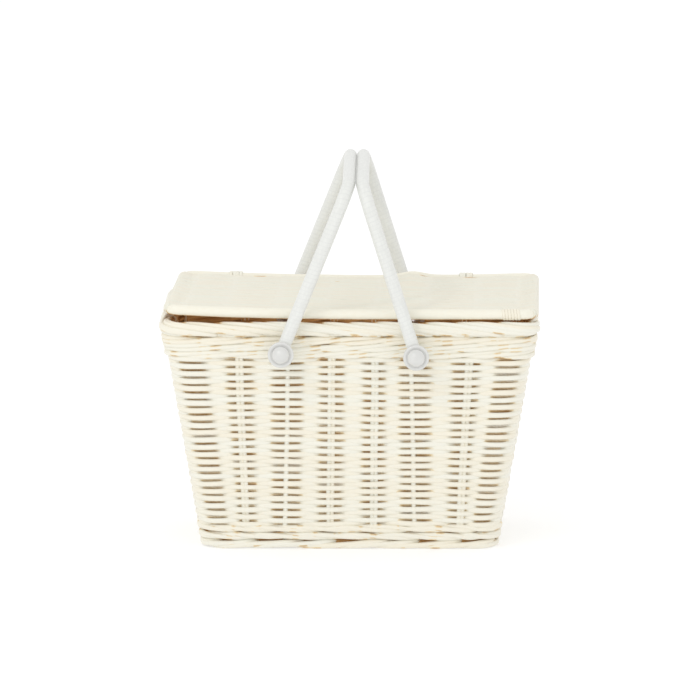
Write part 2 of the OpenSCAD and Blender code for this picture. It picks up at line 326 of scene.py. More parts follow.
def painted_willow(name, cream, warm, thin, bare, roughness):
    """Willow under thick paint.

    Where the paint attribute falls, the coat thins to tan and then to bare wood.
    """
    s = Surface(name, roughness)
    grain = s.attribute("grain", "Vector")
    paint = s.attribute("paint", "Fac")
    shade = s.attribute("shade", "Fac")
    streaks = s.noise(s.stretch(grain, (0.07, 1.0, 1.0)), 1.5, 4.0, 0.6)
    blots = s.noise(s.stretch(grain, (0.45, 1.0, 1.0)), 0.42, 3.0)
    ragged = s.math("MULTIPLY_ADD", streaks, 0.25, s.math("MULTIPLY_ADD", blots, 0.4, -0.325))
    cover = s.math("ADD", paint, ragged)
    wood = s.ramp(streaks, [(0.25, scaled(bare, 0.6)), (0.55, bare), (0.8, scaled(bare, 1.2))])
    coat = s.blend(s.spread(s.math("ADD", shade, blots), 0.5, 1.5, 0.0, 1.0), cream, warm)
    under = s.blend(s.spread(cover, 0.12, 0.45, 0.0, 1.0), wood, thin)
    s.colour(s.blend(s.spread(cover, 0.42, 0.72, 0.0, 1.0), under, coat))
    s.roughness(s.spread(cover, 0.3, 0.7, 0.72, roughness))
    lumps = s.math("MULTIPLY_ADD", blots, 0.8, s.math("MULTIPLY", streaks, 0.35))
    s.bump(lumps, 0.35, 0.35 * MM)
    return s.material


def soft_plastic(name, colour, roughness, lump, coat=0.0):
    """Moulded plastic with a faint orange peel and a slightly uneven gloss."""
    s = Surface(name, roughness)
    s.shader.inputs["Coat Weight"].default_value = coat
    s.shader.inputs["Coat Roughness"].default_value = 0.12
    place = s.add("TexCoord").outputs["Object"]
    peel = s.noise(place, 900.0, 2.0)
    cloud = s.noise(place, 90.0, 3.0)
    s.colour(s.blend(s.spread(cloud, 0.3, 0.7, 0.0, 1.0), colour, scaled(colour, 0.94)))
    s.roughness(s.spread(cloud, 0.3, 0.7, roughness - 0.04, roughness + 0.06))
    s.bump(peel, 0.12, lump)
    return s.material


def wound_strip(name, colour, groove_shade_colour):
    """The white strip wound round a handle.

    The paint attribute is low in the groove between two turns, where the colour turns darker as painted
    shade.
    """
    s = Surface(name, 0.36)
    grain = s.attribute("grain", "Vector")
    groove = s.attribute("paint", "Fac")
    cloud = s.noise(s.stretch(grain, (0.25, 1.0, 1.0)), 0.5, 3.0)
    fine_noise = s.noise(grain, 3.0, 3.0)
    face = s.blend(s.spread(cloud, 0.3, 0.7, 0.0, 1.0), colour, scaled(colour, 0.95))
    # Painted shade: the strip darkens in the grooves between its turns.
    s.colour(s.blend(s.spread(groove, 0.0, 0.9, 0.0, 1.0), groove_shade_colour, face))
    s.roughness(s.spread(cloud, 0.3, 0.7, 0.32, 0.42))
    s.bump(fine_noise, 0.15, 0.1 * MM)
    return s.material


def turned_steel(name, colour):
    s = Surface(name, 0.3)
    s.shader.inputs["Metallic"].default_value = 1.0
    place = s.add("TexCoord").outputs["Object"]
    marks = s.noise(s.stretch(place, (1.0, 0.08, 1.0)), 1400.0, 3.0)
    s.colour(s.ramp(marks, [(0.3, scaled(colour, 0.8)), (0.7, colour)]))
    s.roughness(s.spread(marks, 0.3, 0.7, 0.24, 0.42))
    s.bump(marks, 0.1, 0.05 * MM)
    return s.material


CREAM = rgb(236, 234, 222)
CREAM_WARM = rgb(237, 231, 214)
# The lid's creams are a little greyer than the walls' and also darker, as painted shade for the lid's
# upward-facing top.
LID_CREAM_WITH_SHADE = rgb(231, 230, 217)
LID_WARM_WITH_SHADE = rgb(233, 228, 213)
# The lid's rods are lighter than its weave, as painted light for the front-facing band.
LID_ROD_CREAM_LIT = rgb(239, 237, 223)
THIN_PAINT = rgb(229, 211, 174)
BARE = rgb(200, 155, 98)
STRIP_WHITE = rgb(228, 229, 225)
# The grooves between the strip's turns are a little darker: painted shade.
STRIP_GROOVE_SHADE = rgb(221, 222, 219)
CORE_WHITE = rgb(222, 223, 220)
KNOB_WHITE = rgb(216, 216, 213)
SPACER_WHITE = rgb(222, 222, 218)
STEEL = rgb(196, 198, 202)

weave_paint = painted_willow("painted_weave", CREAM, CREAM_WARM, THIN_PAINT, BARE, 0.45)
# The lid's weave and sticks use the darker creams with painted shade. The lid's rods use the lighter
# cream with painted light.
shaded_lid_paint = painted_willow("painted_lid", LID_CREAM_WITH_SHADE, LID_WARM_WITH_SHADE, THIN_PAINT, BARE, 0.48)
lit_lid_rod_paint = painted_willow("painted_lid_rod_lit", LID_ROD_CREAM_LIT, CREAM_WARM, THIN_PAINT, BARE, 0.48)
strip_white = wound_strip("handle_strip", STRIP_WHITE, STRIP_GROOVE_SHADE)
rod_white = soft_plastic("handle_rod", CORE_WHITE, roughness=0.4, lump=0.05 * MM)
knob_white = soft_plastic("knob_plastic", KNOB_WHITE, roughness=0.16, lump=0.02 * MM, coat=1.0)
spacer_white = soft_plastic("spacer_plastic", SPACER_WHITE, roughness=0.4, lump=0.04 * MM)
steel = turned_steel("bolt_steel", STEEL)


# ---------------------------------------------------------------- stakes

def islands(node):
    """The points of each separate solid in a CAD node."""
    shape = bmesh.new()
    shape.from_mesh(frame["nodes"][node].data)
    bmesh.ops.remove_doubles(shape, verts=shape.verts, dist=0.001 * MM)
    left = set(shape.verts)
    found = []
    while left:
        island, edge = set(), [left.pop()]
        while edge:
            vertex = edge.pop()
            island.add(vertex)
            near = {e.other_vert(vertex) for e in vertex.link_edges} & left
            left -= near
            edge += near
        found.append(np.array([v.co for v in island]))
    shape.free()
    return found


def rod_lines(node):
    """The lower and upper end of each upright rod in a CAD node, from left to right."""
    lines = []
    for points in islands(node):
        low, high = points[:, 2].min(), points[:, 2].max()
        ends = points[points[:, 2] < low + 1.2 * MM], points[points[:, 2] > high - 1.2 * MM]
        lines.append(np.array([end.mean(axis=0) for end in ends]))
    return sorted(lines, key=lambda line: (round(line[0][0], 4), round(line[0][1], 4)))


def grouped(lines):
    """Rods that stand within a centimetre of each other at the foot make one place of the weave."""
    groups = []
    for line in lines:
        near = [g for g in groups if np.linalg.norm(g[0][0][:2] - line[0][:2]) < 10 * MM]
        if near:
            near[0].append(line)
        else:
            groups.append([line])
    return groups


def on_line(line, z):
    share = (z - line[0][2]) / (line[1][2] - line[0][2])
    return line[0] + (line[1] - line[0]) * share


WALL_NODES = ["front_stakes", "back_stakes", "left_stakes", "right_stakes"]

# From a corner post to where the weave turns: along the front or back wall, and out from it.
CORNER_SHIFT = np.array([11.5 * MM, -2 * MM, 0])
stake_groups = {node: grouped(rod_lines(node)) for node in WALL_NODES + ["corner_posts"]}


def station(node, group):
    """A place of the weave: its middle line, its CAD node and how many rods stand there.

    The weave turns behind a corner post mostly on the front or back wall's side of the corner.
    """
    middle = np.mean(group, axis=0)
    if node == "corner_posts":
        middle = middle - CORNER_SHIFT * np.sign(middle[:1])
    return middle, node, len(group)


stations = [station(node, group) for node in stake_groups for group in stake_groups[node]]


def phase(ring, places, z):
    """How many stakes lie behind each place on the ring, as a smooth count, and the stakes in order."""
    marks = np.array([ring.nearest(on_line(line, z)) for line, _, _ in stations])
    order = np.argsort(marks)
    marks = marks[order]
    known = np.concatenate([[marks[-1] - ring.length], marks, [marks[0] + ring.length]])
    count = np.interp(places, known, np.arange(-1, len(marks) + 1))
    return count, [stations[k] for k in order]


STAKE_FOOT_Z = 8 * MM
STAKE_TOP_Z = 228 * MM
SINGLE_STAKE_R = 2.6 * MM
PAIRED_STAKE_R = 2.25 * MM

# The rods of a pair are drawn together to this share of their distance in the CAD.
PAIR_SPREAD = 0.82

# How crooked a stake is.
STAKE_WANDER = 0.3 * MM

# In millimetres: how far a stake's ends lean inward, and how far a corner post stands behind the wall.
STAKE_LEAN = 3
POST_SUNK = 2.4

# Which way each wall faces, apart from the sign.
FACING = {"front_stakes": [0, 1, 0], "back_stakes": [0, 1, 0], "left_stakes": [1, 0, 0],
          "right_stakes": [1, 0, 0], "corner_posts": [1, 1, 0]}


def stakes(node, name):
    """The upright rods of one wall or the corners, a little crooked. Rods of a pair touch.

    Both ends lean inward, behind the wales.
    """
    strands = Strands(11)
    rng = strands.rng
    for group in stake_groups[node]:
        middle = np.mean(group, axis=0)
        radius = SINGLE_STAKE_R if len(group) == 1 else PAIRED_STAKE_R
        for line in group:
            line = middle + PAIR_SPREAD * (line - middle)
            share = np.linspace(0, 1, 46)
            low, high = on_line(line, STAKE_FOOT_Z), on_line(line, STAKE_TOP_Z)
            path = low + (high - low) * share[:, None]
            if node not in ("front_stakes", "back_stakes"):
                path[:, 0] += np.sign(middle[0, 0]) * wider(path[:, 2])
            path[:, 0] += STAKE_WANDER * wave(rng, share, (1, 2, 3))
            path[:, 1] += STAKE_WANDER * wave(rng, share, (1, 2, 3))
            facing = np.sign(middle[1]) * FACING[node]
            z = path[:, 2] / MM
            sunk = STAKE_LEAN * (1 - smooth_step(19, 27, z)) + STAKE_LEAN * smooth_step(200, 207, z)
            sunk = sunk + (POST_SUNK if node == "corner_posts" else 0)
            path -= facing / np.linalg.norm(facing) * (sunk * MM)[:, None]
            thick = radius * (1 + 0.05 * wave(rng, share, (2, 5)))
            strands.rod(path, facing, thick, paint=lambda out, up: smooth_step(-0.9, -0.4, out))
    strands.piece(name, weave_paint, "basket", "painted_weave", [node])


# ---------------------------------------------------------------- walls

STEP = 4 * MM
WEAVE_INSET = 5.2 * MM
SWING = 2.6 * MM
ROW_PITCH = 3.87 * MM
LOW_ROW_Z = 25.9 * MM

# A weaver's half thickness and half height, in millimetres.
WEAVER_THICK = 1.9
WEAVER_HIGH = 2.95

# A weaver turns later at a pair of stakes than at a single one, and more paint reached it there.
PAIR_LATE = 0.12
PAIR_COVER = 0.12
SINGLE_COVER = -0.08

# One time in fourteen the paint also reached a weaver behind its stake.
FILLED_SHARE = 0.07
FILLED_COVER = 0.6


def weave_row(strands, row):
    """One weaver round the basket, in front of one stake and behind the next.

    The paint reached the front of the wall. Behind the stakes it is thin above and missing below.
    """
    rng = strands.rng
    z = LOW_ROW_Z + row * ROW_PITCH
    ring = wall_ring(z, WEAVE_INSET)
    number = int(ring.length / STEP)
    share = np.arange(number) / number
    count, order = phase(ring, share * ring.length, z)
    point, normal = ring.at(share * ring.length)
    near = np.round(count).astype(int) % len(order)
    corner = np.array([node == "corner_posts" for _, node, _ in order])[near]
    side_wall = smooth_step(0.35, 0.8, np.abs(normal[:, 0]))
    swing = np.cos(np.pi * (count + row))
    late = np.array([PAIR_LATE if pair > 1 else 0.0 for _, _, pair in order])[near]
    swing = np.sign(swing) * smooth_step(0.1 + late, 0.85 + late, np.abs(swing))
    swing = swing * (1 - 0.8 * corner * side_wall)
    path = point + normal * (SWING * swing + 0.25 * MM * wave(rng, share, (7, 13, 19)))[:, None]
    drift = 0.7 * np.sin(2 * np.pi * (2 * share + 0.1 + z * 3))
    drift += 0.5 * np.sin(2 * np.pi * (5 * share + 0.6 - z * 4))
    path[:, 2] = z + MM * (drift + 0.36 * wave(rng, share, (6, 11, 17, 23)))
    wide = np.array([pair > 1 or node == "corner_posts" for _, node, pair in order])
    uneven = rng.normal(0, 0.12, len(order))
    filled = np.where(rng.random(len(order)) < FILLED_SHARE, FILLED_COVER, 0)
    bias = np.where(wide, PAIR_COVER, SINGLE_COVER) + (uneven + filled)
    ragged = 0.12 * wave(rng, share, (21, 34, 55))
    cover = smooth_step(-0.55, -0.1, swing + bias[near] + ragged)[:, None]
    thin = (0.17 + 0.32 * rng.random(len(order)))[near][:, None]

    def paint(out, up):
        behind = thin + 0.34 * smooth_step(-0.35, 0.45, up)
        front = smooth_step(-0.8, -0.2, out)
        top = 1 - 0.2 * smooth_step(0.5, 1.0, up) * np.abs(swing)[:, None]
        return front * (behind + (1 - behind) * cover) * top

    thick = 0.95 + 0.1 * rng.random() + 0.06 * wave(rng, share, (3, 8, 15))
    height = WEAVER_HIGH - 0.3 * smooth_step(0.3, 0.9, np.abs(swing))
    strands.rod(path, normal, WEAVER_THICK * MM * thick, height * MM * thick, closed=True, paint=paint)


def side_weave():
    rows = int((WALE_Z - LOW_ROW_Z) / ROW_PITCH) + 1
    for name, first, last, seed in (("woven_sides_low", 0, rows // 2, 21),
                                    ("woven_sides_high", rows // 2, rows, 22)):
        strands = Strands(seed)
        for row in range(first, last):
            weave_row(strands, row)
        strands.piece(name, weave_paint, "basket", "painted_weave", ["side_weave"])


WALE_SWING = 2.1 * MM

# How much of the paint is missing in the slits of the wales and of the borders.
WALE_SLIT = 0.74
BORDER_SLIT = 0.76


def wale_round(strands, ring, z, offset, radius, rise, start, coat=1.0):
    """A three-rod wale: a line of three turns that passes outside two stakes and inside the third.

    start shifts the pattern along the wall, in stakes. coat is the share of paint that reached it.
    """
    rng = strands.rng
    number = int(3 * ring.length / STEP)
    share = np.arange(number) / number
    places = share * 3 * ring.length
    count, order = phase(ring, np.mod(places, ring.length), z)
    turns = count + len(order) * np.floor(places / ring.length)
    beat = 2 * np.pi * (turns + start) / 3
    out_pass = np.clip(1.6 * np.cos(beat) + 0.5, -1, 1)
    point, normal = ring.at(places)
    path = point + normal * (offset + WALE_SWING * out_pass)[:, None]
    path[:, 2] = z + rise * np.sin(beat) + 0.7 * MM * wave(rng, share, (5, 9, 14, 31))
    cover = smooth_step(-0.9, -0.3, out_pass + 0.25 * wave(rng, share, (17, 41, 63)))[:, None]
    slit = smooth_step(0.0, 0.9, wave(rng, share, (61, 97, 151)))[:, None]

    def paint(out, up):
        edge = smooth_step(0.2, 0.65, np.abs(up))
        return coat * smooth_step(-0.7, -0.1, out) * (0.2 + 0.8 * cover) * (1 - WALE_SLIT * slit * edge)

    thick = 1 + 0.08 * wave(rng, share, (8, 19, 37))
    strands.rod(path, normal, radius * thick, closed=True, paint=paint)


# Each round of wale, from the lowest up: its height and where its pattern starts, in stakes.
LOW_WALES = ((13.6 * MM, 0), (21.6 * MM, 1.3))
HIGH_WALES = ((205.3 * MM, 1.1), (212.3 * MM, 0.4), (219.3 * MM, 1.9))
LAST_WALE_Z = 226 * MM
LOW_WALE_INSET = 6.4 * MM
HIGH_WALE_INSET = 6 * MM


def wales():
    low = Strands(31)
    for z, start in LOW_WALES:
        ring = wall_ring(z, LOW_WALE_INSET)
        wale_round(low, ring, z, offset=0.9 * MM, radius=2.8 * MM, rise=-1.5 * MM, start=start)
    low.piece("low_wale_rods", weave_paint, "basket", "painted_weave", ["bottom_wale"])
    high = Strands(32)
    for z, start in HIGH_WALES:
        ring = wall_ring(z, HIGH_WALE_INSET)
        wale_round(high, ring, z, offset=1.2 * MM, radius=2.65 * MM, rise=2.3 * MM, start=start)
    # The last round lies behind the border, and less paint reached it.
    ring = wall_ring(LAST_WALE_Z, HIGH_WALE_INSET)
    wale_round(high, ring, LAST_WALE_Z, offset=-0.6 * MM, radius=2.6 * MM, rise=0.6 * MM,
               start=2.6, coat=0.8)
    high.piece("high_wale_rods", weave_paint, "basket", "painted_weave", ["top_wale"])


def border(strands, ring, number, length, track, radius, jitter):
    """Overlapping rods that each follow track: shares of the length, outward offsets and heights."""
    shares, offsets, heights = np.array(track).T
    rng = strands.rng
    for k in range(number):
        t = np.linspace(0, 1, int(length / (3 * MM)))
        start = ring.length * (k + jitter * (rng.random() - 0.5)) / number
        point, normal = ring.at(start + t * length * (0.94 + 0.12 * rng.random()))
        offset = soften(np.interp(t, shares, offsets), 6)
        path = point + normal * (offset * MM)[:, None]
        path[:, 2] = soften(np.interp(t, shares, heights), 6) * MM
        path[:, 2] += 0.5 * MM * wave(rng, t, (0.7, 1.3)) * np.sin(np.pi * t)
        inside = smooth_step(-3.2, -0.6, offset)[:, None]
        slit = smooth_step(0.0, 0.9, wave(rng, t, (1.3, 2.9, 6.1)))[:, None]

        def paint(out, up):
            outer = np.maximum(smooth_step(-0.7, -0.1, out), inside)
            hidden_top = (1 - inside) * smooth_step(-0.2, 0.5, up)
            missed = slit * smooth_step(0.0, 0.6, -up)
            return outer * (1 - 0.9 * hidden_top) * (1 - BORDER_SLIT * missed)

        thick = 1 + 0.05 * wave(rng, t, (1, 2.3))
        strands.rod(path, normal, radius * thick, radius * thick * 1.1, paint=paint)


# A border rod's way: share of its length, offset outward and height, the last two in millimetres.
RIM_TRACK = [(0, -5, 224), (0.05, -6.8, 229), (0.12, -4.6, 234.4), (0.2, -0.8, 235.8),
             (0.34, 3.2, 235.3), (0.55, 5.6, 232.2), (0.75, 6.0, 229.0), (0.92, 5.0, 226.8),
             (1, 1.0, 225.4)]
FOOT_TRACK = [(0, -3.5, 3.2), (0.1, 0.0, 2.9), (0.2, 2.2, 2.9),
              (0.55, 2.4, 4.6), (0.85, 1.9, 6.9), (1, -3, 7.4)]


def borders():
    rim = Strands(41)
    border(rim, rim_ring(8 * MM), number=44, length=136 * MM, track=RIM_TRACK,
           radius=2.5 * MM, jitter=0.9)
    rim.piece("rim_border_rods", weave_paint, "basket", "painted_weave", ["rim_border"])
    foot = Strands(42)
    border(foot, wall_ring(0, 5 * MM), number=21, length=96 * MM, track=FOOT_TRACK,
           radius=2.6 * MM, jitter=0.35)
    foot.piece("foot_border_rods", weave_paint, "basket", "painted_weave", ["foot_border"])


def middles(node, axis):
    """Where the separate solids of a CAD node have their middles along one axis, in order."""
    return sorted(float(p[:, axis].min() + p[:, axis].max()) / 2 for p in islands(node))


BASE_STICK_R = 1.9 * MM
BASE_PITCH = 4.1 * MM

# The rods round the base's edge, this far inside the wall's outer face.
BASE_EDGE_INSETS = (9 * MM, 13 * MM, 17 * MM)
BASE_EDGE_R = 2.3 * MM


def base():
    """Lengthwise sticks, weavers that pass over one and under the next, and rods round the edge."""

    def below(out, up):
        return 0.75 * smooth_step(0.0, 0.8, -up)

    lo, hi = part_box("base_sticks")
    sheet_lo, sheet_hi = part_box("base_weave")
    z = (lo.z + hi.z) / 2
    lines = middles("base_sticks", 1)
    sticks = Strands(51)
    for y in lines:
        x = np.linspace(lo.x, hi.x, 60)
        path = np.stack([x, 0 * x + y, 0 * x + z], axis=1)
        sticks.rod(path, (0, 0, 1), BASE_STICK_R, paint=0.1)
    sticks.piece("base_stick_rods", weave_paint, "basket", "bare_willow", ["base_sticks"])
    weave = Strands(52)
    gap = lines[1] - lines[0]
    for k in range(int((sheet_hi.x - sheet_lo.x) / BASE_PITCH)):
        y = np.linspace(sheet_lo.y + 2 * MM, sheet_hi.y - 2 * MM, 44)
        count = np.interp(y, [lines[0] - gap, *lines, lines[-1] + gap], np.arange(-1, len(lines) + 1))
        side = np.sin(np.pi / 2 * np.clip(1.3 * np.cos(np.pi * (count + k)), -1, 1))
        x = sheet_lo.x + (k + 0.5) * BASE_PITCH + 0.2 * MM * wave(weave.rng, y / 0.17, (1, 2))
        path = np.stack([x, y, z + 1.5 * MM * side], axis=1)
        weave.rod(path, (0, 0, 1), 1.5 * MM, 1.95 * MM, sides=8, paint=below)
    for inset in BASE_EDGE_INSETS:
        ring = wall_ring(z, inset)
        number = int(ring.length / STEP)
        share = np.arange(number) / number
        path, normal = ring.at(share * ring.length)
        path[:, 2] = z + 0.5 * MM * wave(weave.rng, share, (9, 17, 31))
        weave.rod(path, normal, BASE_EDGE_R, closed=True, paint=below)
    weave.piece("base_weave_rods", weave_paint, "basket", "painted_weave", ["base_weave"])


# ---------------------------------------------------------------- lid

lid_lo, lid_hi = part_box("lid_frame")
LID_ROD_R = (lid_hi.z - lid_lo.z) / 2
LID_Z = (lid_hi.z + lid_lo.z) / 2
LID_X = lid_hi.x - LID_ROD_R
LID_Y = lid_hi.y - LID_ROD_R
LID_BEND_R = 12 * MM
STICK_R = 1.2 * MM
END_ROD_R = 5.2 * MM
SIDE_ROD_R = 3.1 * MM
LID_WEAVER_R = 2.1 * MM
LID_ROW_PITCH = 2.95 * MM
WINDING_X = 151 * MM

# Places where the paint missed a weaver: x and half length in millimetres, rows from the back edge.
MISSED = [(-101, 7, 1), (-96, 4, 2), (33, 5, 0), (71, 7, 0),
          (118, 8, 1), (171, 5, 0), (-20, 3, 9), (96, 3, 20)]


def lid_shape(points):
    """The old lid's warp.

    Its front left corner stands up, its back edge waves with one bump, and it leans to the right.
    """
    points = points.copy()
    back = np.clip((points[:, 1] + LID_Y) / (2 * LID_Y), 0, 1)
    left = np.clip((60 * MM - points[:, 0]) / (LID_X + 60 * MM), 0, 1.04)
    right = np.clip(points[:, 0] / LID_X, 0, 1.04)
    x = points[:, 0] / LID_X
    corner = 4.9 * left ** 2.9 * (1 - back) ** 1.1
    bump = 4.0 * np.exp(-((points[:, 0] - 57 * MM) / (16 * MM)) ** 2)
    edge = 2.6 * x * x - 1.1 + bump + 2.2 * left ** 1.5
    points[:, 2] += MM * (-1.1 * (1 - back) + corner + edge * back ** 3)
    points[:, 0] += MM * (7 * back + 2.4 * right ** 2)
    return points


def lid_frame():
    strands = Strands(61)
    ring = Ring(LID_X, LID_Y, LID_BEND_R)
    number = int(ring.length / STEP)
    share = np.arange(number) / number
    point, normal = ring.at(share * ring.length)
    path = point + np.array([0, 0, LID_Z])
    radius = SIDE_ROD_R + (END_ROD_R - SIDE_ROD_R) * smooth_step(0.1, 0.9, np.abs(normal[:, 1]))
    radius = radius * (1 + 0.02 * wave(strands.rng, share, (5, 11, 17)))
    strands.rod(path, normal, radius, sides=18, closed=True,
                paint=lambda out, up: smooth_step(-0.85, -0.35, up + 0.4 * out))
    start = np.array([WINDING_X, -LID_Y, LID_Z])
    winding(strands, start, END_ROD_R + 0.1 * MM, turns=6, pitch=2.9 * MM)
    # The lid's rods take the lighter cream: painted light on the front band.
    strands.piece("lid_frame_rod", lit_lid_rod_paint, "lid", "painted_lid", ["lid_frame"], change=lid_shape)


def winding(strands, start, radius, turns, pitch):
    """A few turns of a flat weaver wound round a rod that runs along X."""
    t = np.linspace(0, turns, 16 * turns)
    turn = 2 * np.pi * t
    path = start + np.stack([t * pitch, radius * np.cos(turn), radius * np.sin(turn)], axis=1)
    outward = np.stack([0 * t, np.cos(turn), np.sin(turn)], axis=1)
    strands.rod(path, outward, 0.5 * MM, 1.5 * MM, sides=8, paint=1.0)


def lid_weave():
    stick_x = middles("lid_sticks", 0)
    sticks = Strands(62)
    for x in stick_x:
        y = np.linspace(-LID_Y, LID_Y, 50)
        path = np.stack([0 * y + x, y, 0 * y + LID_Z + 0.2 * MM], axis=1)
        sticks.rod(path, (0, 0, 1), STICK_R, 2.0 * MM, paint=0.15)
    sticks.piece("lid_stick_rods", shaded_lid_paint, "lid", "bare_willow", ["lid_sticks"], change=lid_shape)
    weave = Strands(63)
    inner = LID_Y - END_ROD_R + 0.6 * MM
    rows = int(2 * inner / LID_ROW_PITCH) + 1
    for row in range(rows):
        y = inner - 2 * inner * row / (rows - 1)
        missed = [(x, half) for x, half, spot in MISSED if spot == row]
        lid_row(weave, row, y, stick_x, missed)
    weave.piece("lid_weave_rods", shaded_lid_paint, "lid", "painted_lid", ["lid_weave"], change=lid_shape)


def lid_row(strands, row, y, stick_x, missed):
    """A weaver across the lid, over one stick and under the next, and round the side rods at its ends."""
    rng = strands.rng
    into_bend = max(0.0, abs(y) - (LID_Y - LID_BEND_R))
    edge_x = LID_X - LID_BEND_R + math.sqrt(LID_BEND_R ** 2 - into_bend ** 2)
    x = np.linspace(-edge_x, edge_x, 84)
    count = np.interp(x, [-LID_X, *stick_x, LID_X], np.arange(-1, len(stick_x) + 1))
    side = np.cos(np.pi * (count + row))
    height = LID_Z + 1.9 * MM + 0.75 * MM * side
    reach = SIDE_ROD_R + 1.2 * MM
    paths, facings = [], []
    for end in (-1, 1):
        start = math.copysign(1, side[0] if end < 0 else side[-1])
        turn = np.linspace(start * np.pi / 2, -start * np.pi * 0.45, 9)
        hook_x = end * (edge_x + reach * np.cos(turn))
        hook = np.stack([hook_x, 0 * turn + y, LID_Z + reach * np.sin(turn)], axis=1)
        facing = np.stack([end * np.cos(turn), 0 * turn, np.sin(turn)], axis=1) * start
        paths.append(hook)
        facings.append(facing)
        ease = smooth_step(end * edge_x, end * (edge_x - 10 * MM), x)
        height = height * ease + (LID_Z + start * reach) * (1 - ease)
    middle = np.stack([x, 0 * x + y, height], axis=1)[1:-1]
    path = np.concatenate([paths[0][::-1], middle, paths[1]])
    upward = np.broadcast_to((0.0, 0.0, 1.0), middle.shape)
    outward = np.concatenate([facings[0][::-1], upward, facings[1]])
    share = np.linspace(0, 1, len(path))
    path[:, 1] += 0.22 * MM * wave(rng, share, (2, 5, 9, 14))
    path[:, 2] += 0.15 * MM * wave(rng, share, (7, 13, 21))
    end_face = smooth_step(edge_x - 3 * MM, edge_x + 2 * MM, np.abs(path[:, 0]))[:, None]
    bare = np.zeros(len(path))
    for spot, half in missed:
        bare = np.maximum(bare, np.exp(-((path[:, 0] / MM - spot) / half) ** 4))
    sunk = bare[:, None] * 0.9

    def paint(out, up):
        hooked = end_face * smooth_step(-0.5, 0.1, out)
        return np.maximum(smooth_step(-0.35, 0.1, up), hooked) * (1 - sunk)

    path[:, 2] -= 0.5 * MM * bare
    thick = LID_WEAVER_R * (1 + 0.05 * wave(rng, share, (4, 9)))
    strands.rod(path, outward, 1.35 * MM, thick, sides=10, paint=paint)


# Each loop's name and seed, and how far its top is raised for the lid's warp.
LOOPS = (("left_lid_loop", 71, 1.5 * MM), ("right_lid_loop", 72, 0.1 * MM))
LOOP_CANES = 4
CANE_PITCH = 3.4 * MM


def lid_loops():
    """Cane wound round the lid's back rod and down through the rim, which lets the lid turn."""
    for name, seed, lift in LOOPS:
        lo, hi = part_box(name)
        strands = Strands(seed)
        top_r = END_ROD_R + 1.1 * MM
        turn = np.linspace(np.pi * 1.15, -0.02 * np.pi, 26)
        arc = np.stack([LID_Y + top_r * np.cos(turn), LID_Z + lift + top_r * np.sin(turn)], axis=1)
        back_y = hi.y - 1.2 * MM
        down = np.array([[back_y - 1.2 * MM, LID_Z - 5 * MM], [back_y, 238 * MM], [back_y, 232 * MM],
                         [back_y - 1 * MM, 226 * MM], [back_y - 8 * MM, 225 * MM]])
        line = soften(np.concatenate([arc, fine(down, 6)]), 3)
        share = np.linspace(0, 1, len(line))
        for k in range(LOOP_CANES):
            middle = (lo.x + hi.x) / 2 + (k - (LOOP_CANES - 1) / 2) * CANE_PITCH
            x = middle + 0.3 * MM * wave(strands.rng, share, (1, 2))
            path = np.stack([x, line[:, 0], line[:, 1]], axis=1)
            strands.rod(path, (1, 0, 0), 1.8 * MM, 0.7 * MM, sides=8, paint=0.95)
        strands.piece(name + "_cane", weave_paint, "basket", "cane_loop", [name])


# ---------------------------------------------------------------- handles

STRIP_R = 6.3 * MM
STRIP_PITCH = 4.4 * MM
STRIP_SIDES = 20
GROOVE_DEPTH = 0.026
EYE_DROP = 9.4 * MM
BAIL_BEND_R = 28 * MM


def handle_path(body):
    """The middle line of a handle from foot to foot, the way its section faces, and its run length."""
    joint = next(j for j in frame["joints"] if j["child"] == body)
    pivot = Vector(joint["pos_m"])
    lo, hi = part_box(body + "_wrap")
    leg_y = (hi.y - lo.y) / 2 - STRIP_R
    top = Vector((hi.x - STRIP_R if pivot.x < 0 else lo.x + STRIP_R, 0, hi.z - STRIP_R))
    rise = top - Vector((pivot.x, 0, pivot.z))
    corner_y = leg_y - BAIL_BEND_R
    corner_z = rise.length - BAIL_BEND_R
    bend = np.linspace(0, np.pi / 2, 24)
    sine = BAIL_BEND_R * np.sin(bend)
    cosine = BAIL_BEND_R * np.cos(bend)
    left = np.stack([-corner_y - cosine, corner_z + sine], axis=1)
    right = np.stack([corner_y + sine, corner_z + cosine], axis=1)
    line = np.concatenate([[[-leg_y, -EYE_DROP]], left, right, [[leg_y, -EYE_DROP]]])
    steps = np.concatenate([[0], np.cumsum(np.linalg.norm(np.diff(line, axis=0), axis=1))])
    run = np.arange(0, steps[-1], 0.75 * MM)
    y, up = (np.interp(run, steps, column) for column in line.T)
    along = np.array([0, 1, 0])
    rise = np.array(rise.normalized())
    path = np.array([pivot.x, 0, pivot.z]) + y[:, None] * along + up[:, None] * rise
    return path, np.cross(along, rise), run


def handles():
    """Bent rods wound with a strip: its turns are low ribs with a fine groove between them."""
    for body, seed in (("left_handle", 81), ("right_handle", 82)):
        path, outward, run = handle_path(body)
        strands = Strands(seed)
        turn = np.arange(STRIP_SIDES) / STRIP_SIDES
        uneven = 0.12 * wave(strands.rng, run / run[-1], (9, 23, 41))
        place = np.mod((run / STRIP_PITCH + uneven)[:, None] - turn, 1)
        # groove is low between turns: it sinks the surface there and darkens the strip's colour as
        # painted shade.
        groove = smooth_step(0.0, 0.2, np.minimum(place, 1 - place))
        ends = np.ones(len(path))
        for k, scale in enumerate((0.86, 0.94, 0.98)):
            ends[[k, -1 - k]] = scale
        strands.rod(path, outward, (STRIP_R + 0.25 * MM) * ends, sides=STRIP_SIDES, paint=groove)
        away = strands.points[0].reshape(len(path), -1, 3) - path[:, None]
        swell = 1 - GROOVE_DEPTH * (1 - groove)[..., None]
        strands.points[0] = (path[:, None] + away * swell).reshape(-1, 3)
        strands.piece(body + "_strip", strip_white, body, "handle_wrap", [body + "_wrap"])


# ---------------------------------------------------------------- pivots

